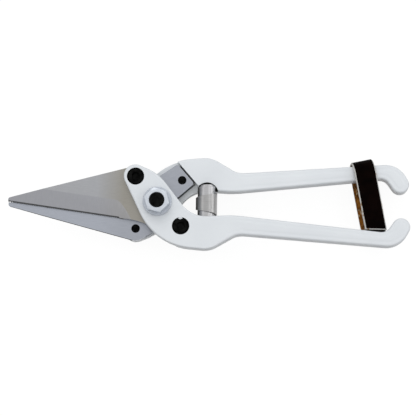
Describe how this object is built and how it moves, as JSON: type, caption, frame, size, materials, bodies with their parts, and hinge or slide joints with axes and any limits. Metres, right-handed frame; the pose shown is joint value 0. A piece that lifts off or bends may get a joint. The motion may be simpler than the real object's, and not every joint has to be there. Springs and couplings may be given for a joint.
{
  "type": "floral snips",
  "caption": "Spring-loaded cutting snips with long pointed bolted blades, hooked white handles, a volute spring and a leather closing loop.",
  "frame": {"origin": "middle of the pivot bolt head's flat face, on the pivot axis", "axes": "+X along the handles, away from the blades; +Y towards the rear handle's grip; +Z along the pivot, towards the nut"},
  "size_m": [0.2227, 0.0536, 0.0331],
  "materials": {
    "white_coat": "satin white powder coat",
    "blade_steel": "ground and brushed",
    "black_oxide": "black oxide",
    "zinc_plate": "bright zinc plating",
    "spring_steel": "bright nickel",
    "dark_leather": "dark grain side, tan flesh side"
  },
  "bodies": {
    "rear_half": {"rear_handle": "white_coat", "lower_blade": "blade_steel", "rear_heel_screw": "black_oxide", "rear_tang_screw": "black_oxide", "pivot_bolt": "black_oxide", "bolt_washer": "zinc_plate", "nut_washer": "zinc_plate", "pivot_nut": "zinc_plate", "volute_spring": "spring_steel"},
    "front_half": {"front_handle": "white_coat", "upper_blade": "blade_steel", "front_heel_screw": "black_oxide", "front_tang_screw": "black_oxide"},
    "loop": {"leather_loop": "dark_leather"}
  },
  "joints": [
    {"name": "pivot", "type": "hinge", "parent": "rear_half", "child": "front_half", "pos_m": [0, 0, 0.01645], "axis": [0, 0, -1], "range_deg": [0, 25], "deforming": ["volute_spring"]},
    {"name": "loop_swing", "type": "hinge", "parent": "rear_half", "child": "loop", "pos_m": [0.1146, 0.01857, 0.0121], "axis": [-0.9962, -0.0873, 0], "range_deg": [0, 180]}
  ]
}
